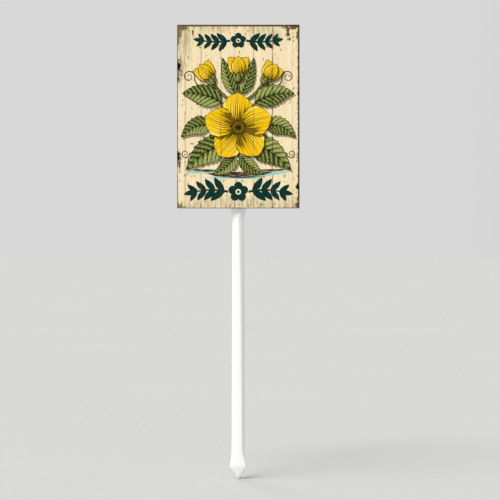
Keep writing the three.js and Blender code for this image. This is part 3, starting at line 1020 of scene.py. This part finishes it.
# Centres and half sizes of the places where the printed paint is greyed, bare or knocked away
STAINED = (
    (-48, 66, 11, 26), (-20, 75, 18, 6), (18, 74, 16, 7), (30, 66, 6, 9), (-49, 40, 5, 18),
    (16, -77, 22, 13), (-28, -78, 26, 12), (-4, -75, 14, 11), (44, -77, 16, 13), (36, 30, 5, 7),
)
WORN_BARE = (
    (-49, 74, 7, 3.5), (-50.5, 69, 3, 9), (-37.6, 69.5, 0.8, 3.2),
    (41, 72, 1.8, 6), (45.5, 75.5, 7, 3.0), (50.5, 70, 1.9, 9), (42.6, 64.5, 1.4, 1.4),
    (-50.4, 40, 3.2, 8), (-50.6, 30.5, 1.5, 2.5), (-50.4, -36, 2.8, 8), (51.2, 0, 1.7, 120),
    (50.6, 18.5, 1.6, 5), (50.6, -33, 1.6, 4), (50.2, -58.8, 2.4, 3),
    (50.2, -73, 2.6, 6), (-49.6, -75, 4, 3),
)
KNOCKED = (
    (-50.3, 41.4, 2.6, 3.2), (-50.5, 31.0, 1.3, 2.0), (-50.5, -32.5, 1.8, 4.4),
    (49.9, -58.6, 2.9, 2.0), (50.7, 18.5, 1.0, 5.5), (50.8, -26, 0.8, 5.0), (48, 76.2, 6, 0.9),
)


def printed_film(name):
    """Printed vinyl under a matt laminate: flat colour, with little shine and a faint pebble."""
    material, node, shader = start_material("vinyl_film_printed_" + name, 0.5, 1.5, specular=0.04)
    place = node("TexCoord", out="Object")
    # The laminate's texture is about 0.1 mm: drawn four times coarser so that it shows
    pebble = node("TexNoise", {"Vector": place, "Scale": 1 / (0.4 * MM), "Detail": 1.0})
    bump = node("Bump", {"Strength": 0.06, "Distance": 0.05 * MM, "Height": pebble})
    connect(shader, {"Normal": bump})
    to_millimetres = ((1 / MM, 0.0, 1 / MM), (0.0, 0.0, -SIGN_CENTRE_Z / MM))
    sheet = node("VectorMath", (place, *to_millimetres), operation="MULTIPLY_ADD")
    return material, node, shader, sheet


def streaks(node, sheet, wide, tall, detail):
    """Printed wood grain or smudges whose marks are that many millimetres wide and tall."""
    scaled = node("VectorMath", (sheet, (wide, 1.0, tall)), operation="DIVIDE")
    return node("TexNoise", {"Vector": scaled, "Scale": 1.0, "Detail": detail, "Roughness": 0.6})


def nearest_patch(node, sheet, patches):
    """How far a point is from the nearest of some patches: 0 in its middle, 1 at its rim."""
    nearest = None
    for u, v, wide, tall in patches:
        scale = (1 / wide, 0.0, 1 / tall)
        shift = (-u / wide, 0.0, -v / tall)
        offset = node("VectorMath", (sheet, scale, shift), operation="MULTIPLY_ADD")
        gap = node("VectorMath", (offset,), "Value", operation="LENGTH")
        nearest = gap if nearest is None else node("Math", (nearest, gap), operation="MINIMUM")
    return nearest


def in_drawn_shade(node, strength):
    """How much of the drawn shade's colour covers a face: strength inside it, nothing elsewhere."""
    shaded = node("Attribute", out="Fac", attribute_name="in_shade")
    return node("Math", (shaded, strength), operation="MULTIPLY")


def plank_seams(node, sheet):
    """Where the gaps between the printed planks run, wandering a little and broken by paint."""
    wander = streaks(node, sheet, 40.0, 14.0, 2.0)
    drift = node("MapRange", (wander, 0.3, 0.7, -0.4, 0.4), **EASED)
    wandered = node("Math", (node("SeparateXYZ", (sheet,)), drift), operation="ADD")
    share = node("Math", (wandered, 0.5 / HALF_SIGN.x, 0.5), operation="MULTIPLY_ADD")
    stops = []
    for place, strength, half_width in SEAMS:
        for offset, dark in ((-half_width, 0.0), (0.0, strength), (half_width * 0.7, 0.0)):
            stops.append((0.5 + (place + offset) / (2 * HALF_SIGN.x), (dark, dark, dark, 1.0)))
    gap = node("ValToRGB", (share,), stops=stops)
    broken = node("MapRange", (streaks(node, sheet, 9.0, 9.0, 4.0), 0.36, 0.56, 0.5, 1.0), **EASED)
    return node("Math", (gap, broken), operation="MULTIPLY")


def vinyl_printed_planks(settings):
    """Printed planks: cream paint over upright grain, dark seams, chips, and edges worn to wood."""
    material, node, shader, sheet = printed_film("planks")
    across = node("SeparateXYZ", (sheet,))
    up = across.node.outputs["Z"]

    broad = streaks(node, sheet, 5.0, 80.0, 3.0)
    fine = streaks(node, sheet, 0.6, 18.0, 4.0)
    mottle = streaks(node, sheet, 1.5, 2.6, 3.0)
    colour = coated(node, settings.cream, (
        (node("MapRange", (broad, 0.45, 0.7, 0.0, 0.7), **EASED), settings.cream_light),
        (node("MapRange", (mottle, 0.5, 0.75, 0.0, 0.45), **EASED), settings.cream_dark),
        (node("MapRange", (fine, 0.5, 0.72, 0.0, 0.55), **EASED), settings.cream_dark),
    ))

    smudge = streaks(node, sheet, 2.2, 12.0, 5.0)
    stained = node("MapRange", (nearest_patch(node, sheet, STAINED), 1.3, 0.3), **EASED)
    smudged = node("MapRange", (smudge, 0.35, 0.68, 0.1, 0.9), **EASED)
    stain = node("Math", (stained, smudged), operation="MULTIPLY")

    coats = [(stain, settings.stain), (plank_seams(node, sheet), settings.seam)]
    swirl = node("VectorMath", (sheet, (2.4, 1.0, 3.4)), operation="DIVIDE")
    swirled = node("TexNoise", {"Vector": swirl, "Scale": 1.0, "Detail": 3.0}, "Color")
    bent = node("VectorMath", (swirled, (2.6, 0.0, 3.2), sheet), operation="MULTIPLY_ADD")
    for wide, tall, radius, chance, strength in CHIPS:
        celled = node("VectorMath", (bent, (wide, 1.0, tall)), operation="DIVIDE")
        gap = node("TexVoronoi", {"Vector": celled, "Scale": 1.0})
        lot = node("SeparateColor", (gap.node.outputs["Color"],))
        picked = node("MapRange", (lot, chance, 0.9, 0.0, strength), **EASED)
        spot = node("MapRange", (gap, radius, radius * 0.6), **EASED)
        chip = node("Math", (spot, picked), operation="MULTIPLY")
        coats.append((chip, settings.fleck))

    insets = []
    for place, half, shift in ((across, HALF_SIGN.x, WEAR_SHIFT[0]), (up, HALF_SIGN.y, WEAR_SHIFT[1])):
        shifted = node("Math", (place, shift), operation="ADD")
        far = node("Math", (shifted,), operation="ABSOLUTE")
        insets.append(node("Math", (half, far), operation="SUBTRACT"))
    inset = node("Math", insets, operation="MINIMUM")
    tear = streaks(node, sheet, 1.7, 3.0, 5.0)
    ragged = node("MapRange", (tear, 0.25, 0.75, -0.75, 0.75), **EASED)
    edge = node("Math", (ragged, 0.4, inset), operation="MULTIPLY_ADD")
    worn_edge = node("MapRange", (edge, 1.25, 0.85), **EASED)
    torn = node("Math", (nearest_patch(node, sheet, WORN_BARE), ragged), operation="ADD")
    bare = node("MapRange", (torn, 1.0, 0.9), **EASED)
    wood = coated(node, settings.bare, (
        (node("MapRange", (fine, 0.4, 0.65, 0.0, 0.8), **EASED), settings.bare_dark),
        (node("MapRange", (across, -30.0, 50.0, 0.0, 0.55), **EASED), settings.bare_dark),
        (node("MapRange", (inset, 1.2, 0.2, 0.0, 0.75), **EASED), settings.bare_dark),
    ))
    knock = node("Math", (ragged, 0.5, nearest_patch(node, sheet, KNOCKED)), operation="MULTIPLY_ADD")
    coats += [
        (node("MapRange", (torn, 1.35, 0.95, 0.0, 0.4), **EASED), settings.stain),
        (node("Math", (worn_edge, bare), operation="MAXIMUM"), wood),
        (node("MapRange", (knock, 1.05, 0.85), **EASED), settings.nick),
        (in_drawn_shade(node, 0.68), settings.shade),
    ]
    connect(shader, {"Base Color": coated(node, colour, coats)})
    return material


def vinyl_printed_leaf(settings):
    """Printed leaf: olive green, lit between its veins and dark beside them, under a drawn shade."""
    material, node, shader, sheet = printed_film("leaf_green")
    seam = (plank_seams(node, sheet), settings.bare_dark)
    along = node("SeparateXYZ", (node("UVMap", uv_map="on_rib"),))
    offset = node("Math", (along.node.outputs["Y"], 0.5), operation="SUBTRACT")
    from_rib = node("Math", (node("Math", (offset,), operation="ABSOLUTE"), 2.0), operation="MULTIPLY")
    slanted = node("Math", (from_rib, -VEIN_SLANT, along), operation="MULTIPLY_ADD")
    phase = node("Math", (slanted, 1 / VEIN_PITCH, -VEIN_START / VEIN_PITCH), operation="MULTIPLY_ADD")
    between = node("Math", (phase,), operation="FRACT")
    swell = node("ValToRGB", (between,), stops=(
        (0.0, (0.1, 0.1, 0.1, 1.0)), (1.0, (0.18, 0.18, 0.18, 1.0)), (0.3, (0.5, 0.5, 0.5, 1.0)),
        (0.62, (0.85, 0.85, 0.85, 1.0)), (0.85, (0.4, 0.4, 0.4, 1.0)),
    ))
    one_side = node("MapRange", (offset, -0.25, 0.25, -0.22, 0.18), **EASED)
    mottle = node("MapRange", (streaks(node, sheet, 1.4, 1.4, 3.0), 0.3, 0.7, -0.22, 0.22), **EASED)
    by_rib = node("MapRange", (from_rib, 0.0, 0.35, -0.2, 0.0), **EASED)
    light = swell
    for change in (one_side, mottle, by_rib):
        light = node("Math", (light, change), operation="ADD")
    green = node("ValToRGB", (light,), stops=(
        (0.02, settings.leaf_dark), (0.9, settings.leaf_light), (0.42, settings.leaf),
    ))
    coats = ((in_drawn_shade(node, 0.75), settings.shade), seam)
    connect(shader, {"Base Color": coated(node, green, coats)})
    return material


def vinyl_printed_petal(settings):
    """Printed petal: golden yellow, deeper in the throat and folds, streaked along its length."""
    material, node, shader, sheet = printed_film("petal_gold")
    seam = (plank_seams(node, sheet), settings.bare_dark)
    place = node("UVMap", uv_map="on_rib")
    along = node("SeparateXYZ", (place,))
    offset = node("Math", (along.node.outputs["Y"], 0.5), operation="SUBTRACT")
    stretched = node("VectorMath", (place, (1.6, 12.0, 1.0)), operation="MULTIPLY")
    folds = node("TexNoise", {"Vector": stretched, "Scale": 1.0, "Detail": 3.0}, noise_dimensions="2D")
    light = node("MapRange", (along, 0.05, 0.65, 0.0, 0.6), **EASED)
    for change in (
        node("MapRange", (folds, 0.3, 0.7, -0.25, 0.34), **EASED),
        node("MapRange", (offset, -0.45, 0.45, -0.16, 0.16), **EASED),
    ):
        light = node("Math", (light, change), operation="ADD")
    gold = node("ValToRGB", (light,), stops=(
        (0.08, settings.petal_dark), (0.95, settings.petal_light),
        (0.4, settings.petal), (0.7, settings.petal),
    ))
    coats = ((in_drawn_shade(node, 0.72), settings.fold), seam)
    connect(shader, {"Base Color": coated(node, gold, coats)})
    return material


def vinyl_printed_ink(name, colour, worn_colour, share, brushed=(1.2, 9.0), seam_colour=None):
    """One printed colour, uneven as if brushed on planks and worn: streaks that wide and tall in mm."""
    material, node, shader, sheet = printed_film(name)
    worn = streaks(node, sheet, *brushed, 4.0)
    coats = [(node("MapRange", (worn, 0.45, 0.75, 0.0, share), **EASED), worn_colour)]
    if seam_colour:
        coats.append((plank_seams(node, sheet), seam_colour))
    connect(shader, {"Base Color": coated(node, colour, coats)})
    return material


class MARKER_OT_printed_film(bpy.types.Operator):
    """Prints the sign's face: weathered planks, a sprig of blossoms and two garlands"""

    bl_idname = "plant_marker.printed_film"
    bl_label = "Printed film"

    def execute(self, context):
        settings = context.scene.marker_print
        materials = {
            "planks": vinyl_printed_planks(settings),
            "wash": vinyl_printed_ink("wash_blue", settings.wash, settings.cream, 1.0, (9.0, 0.8)),
            "ground": vinyl_printed_ink(
                "ground_brown", settings.shade, settings.cream_dark, 1.0, (7.0, 0.7)
            ),
            "leaf": vinyl_printed_leaf(settings),
            "petal": vinyl_printed_petal(settings),
            "line": vinyl_printed_ink("line_brown", settings.line, settings.leaf_dark, 0.35),
            "fold": vinyl_printed_ink("fold_ochre", settings.fold, settings.petal_dark, 0.5),
            "teal": vinyl_printed_ink(
                "garland_teal", settings.teal, settings.stain, 0.06, seam_colour=settings.bare_dark
            ),
            "cut_edge": vinyl_printed_ink("cut_edge_white", settings.cut, settings.cut_dull, 0.6),
        }
        mesh = film_mesh(draw_sign(settings))
        inks = [materials[ink] for ink in INKS]
        new_piece("printed_face", mesh, inks, "printed_vinyl", "printed_film")
        return {"FINISHED"}


# Stage

FLOOR_SIZE = 60.0
SENSOR_WIDTH = 36.0
# Where each light comes from, as degrees from the front and above the floor, its strength and its spread
LIGHTS = (("key_light", -58, 60, 5.4, 40), ("back_light", -150, 38, 1.3, 24))
# The studio is darker to the right: where that starts and ends across the sky, and what is left there
DARKER_FROM, DARKER_TO, DARKER_SHARE = 0.15, 0.7, 0.6


def painted_floor(settings):
    """Matt painted studio floor: pale, with the faintest unevenness from the roller."""
    material, node, shader = start_material("floor_paint_matt", 0.9, 1.45, specular=0.0)
    cloud = node("TexNoise", {"Vector": node("TexCoord", out="Object"), "Scale": 1 / 0.4})
    connect(shader, {"Base Color": coated(node, settings.floor, ((cloud, settings.floor_rolled),))})
    return material


class MARKER_OT_stage(bpy.types.Operator):
    """Sets the floor, the soft lights and the camera"""

    bl_idname = "plant_marker.stage"
    bl_label = "Stage"

    def execute(self, context):
        settings = context.scene.marker_stage
        scene = context.scene
        scene.view_settings.view_transform = "Standard"

        half = FLOOR_SIZE / 2
        mesh = bpy.data.meshes.new("floor")
        corners = [(x * half, y * half, STAKE_LOW.z) for x, y in ((-1, -1), (1, -1), (1, 1), (-1, 1))]
        mesh.from_pydata(corners, [], [(0, 1, 2, 3)])
        mesh.materials.append(painted_floor(settings))
        floor = bpy.data.objects.new("floor", mesh)
        scene.collection.objects.link(floor)

        for name, turn, height, strength, spread in LIGHTS:
            light = bpy.data.lights.new(name, "SUN")
            light.energy = strength
            light.angle = math.radians(spread)
            lamp = bpy.data.objects.new(name, light)
            lamp.rotation_euler = (math.radians(90 - height), 0.0, math.radians(turn))
            scene.collection.objects.link(lamp)

        world = bpy.data.worlds.new("studio")
        world.use_nodes = True
        background = world.node_tree.nodes["Background"]
        background.inputs["Color"].default_value = settings.sky
        node = partial(add_node, world.node_tree)
        rightward = node("SeparateXYZ", (node("TexCoord", out="Generated"),))
        strength = node("MapRange", (rightward, DARKER_FROM, DARKER_TO, 1.0, DARKER_SHARE))
        connect(background, {"Strength": strength})
        scene.world = world

        lens = bpy.data.cameras.new("camera")
        lens.sensor_width = SENSOR_WIDTH
        lens.lens = settings.lens
        camera = bpy.data.objects.new("camera", lens)
        distance = settings.field * settings.lens / SENSOR_WIDTH
        camera.location = (settings.aim_right, FILM_LOW.y - distance, BOARD_HIGH.z - settings.aim_drop)
        camera.rotation_euler = (math.pi / 2, 0.0, 0.0)
        scene.collection.objects.link(camera)
        scene.camera = camera
        return {"FINISHED"}


class MARKER_PT_pieces(bpy.types.Panel):
    """Lists the marker's pieces"""

    bl_idname = "MARKER_PT_pieces"
    bl_label = "Plant marker"
    bl_space_type = "VIEW_3D"
    bl_region_type = "UI"
    bl_category = "Plant marker"

    def draw(self, context):
        for operator in OPERATORS:
            self.layout.operator(operator.bl_idname)


SETTINGS = {
    "marker_stake": MarkerStakeSettings,
    "marker_board": MarkerBoardSettings,
    "marker_print": MarkerPrintSettings,
    "marker_stage": MarkerStageSettings,
}
OPERATORS = (
    MARKER_OT_stage,
    MARKER_OT_stake,
    MARKER_OT_foam_tape,
    MARKER_OT_sign_board,
    MARKER_OT_printed_film,
)


def register():
    for each in (*SETTINGS.values(), *OPERATORS, MARKER_PT_pieces):
        bpy.utils.register_class(each)
    for name, group in SETTINGS.items():
        setattr(bpy.types.Scene, name, bpy.props.PointerProperty(type=group))


def unregister():
    for name in SETTINGS:
        delattr(bpy.types.Scene, name)
    for each in (MARKER_PT_pieces, *reversed(OPERATORS), *SETTINGS.values()):
        bpy.utils.unregister_class(each)


def main():
    register()
    bpy.ops.plant_marker.stage()
    bpy.ops.plant_marker.stake()
    bpy.ops.plant_marker.foam_tape()
    bpy.ops.plant_marker.sign_board()
    bpy.ops.plant_marker.printed_film()


if __name__ == "__main__":
    main()
